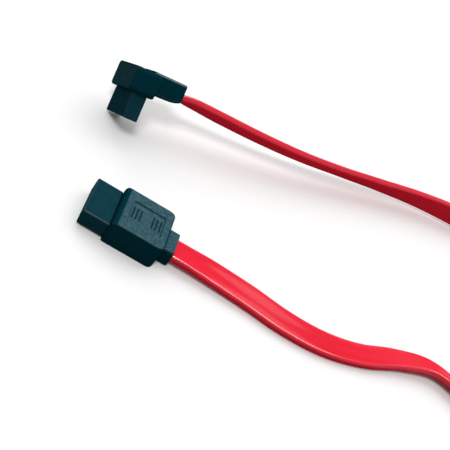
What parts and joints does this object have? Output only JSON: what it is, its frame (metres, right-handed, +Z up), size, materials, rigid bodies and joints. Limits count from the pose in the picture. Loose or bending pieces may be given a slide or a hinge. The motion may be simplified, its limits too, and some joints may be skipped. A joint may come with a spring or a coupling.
{
  "type": "sata data cable",
  "caption": "Flat red SATA data cable lying in one open loop, with a straight plug on one end and a right-angle plug on the other.",
  "frame": {"origin": "middle of the flat underside of the straight plug's grip, where it lies on the table", "axes": "+X from the straight plug's nose towards its cable, +Y across the plug to its left seen from behind it, +Z up from the table"},
  "size_m": [0.2077, 0.1023, 0.02],
  "materials": {
    "grip": "dark slate moulded grip, fine-grained",
    "nose": "dark slate moulding, smooth satin",
    "contact": "gold plated strip",
    "core": "off-white wire insulation",
    "drain": "tinned copper wire",
    "jacket": "bright red soft jacket, satin gloss"
  },
  "bodies": {
    "root": {"straight_overmould": "grip", "straight_housing": "nose", "straight_contact_1": "contact", "straight_contact_2": "contact", "straight_contact_3": "contact", "straight_contact_4": "contact", "straight_contact_5": "contact", "straight_contact_6": "contact", "straight_contact_7": "contact", "straight_core_1": "core", "straight_core_2": "core", "straight_core_3": "core", "straight_core_4": "core", "straight_drain_1": "drain", "straight_drain_2": "drain", "straight_drain_3": "drain", "angled_overmould": "grip", "angled_housing": "nose", "angled_contact_1": "contact", "angled_contact_2": "contact", "angled_contact_3": "contact", "angled_contact_4": "contact", "angled_contact_5": "contact", "angled_contact_6": "contact", "angled_contact_7": "contact", "angled_core_1": "core", "angled_core_2": "core", "angled_core_3": "core", "angled_core_4": "core", "angled_drain_1": "drain", "angled_drain_2": "drain", "angled_drain_3": "drain", "cable_straight_run": "jacket", "cable_loop": "jacket", "cable_angled_run": "jacket"}
  },
  "joints": []
}
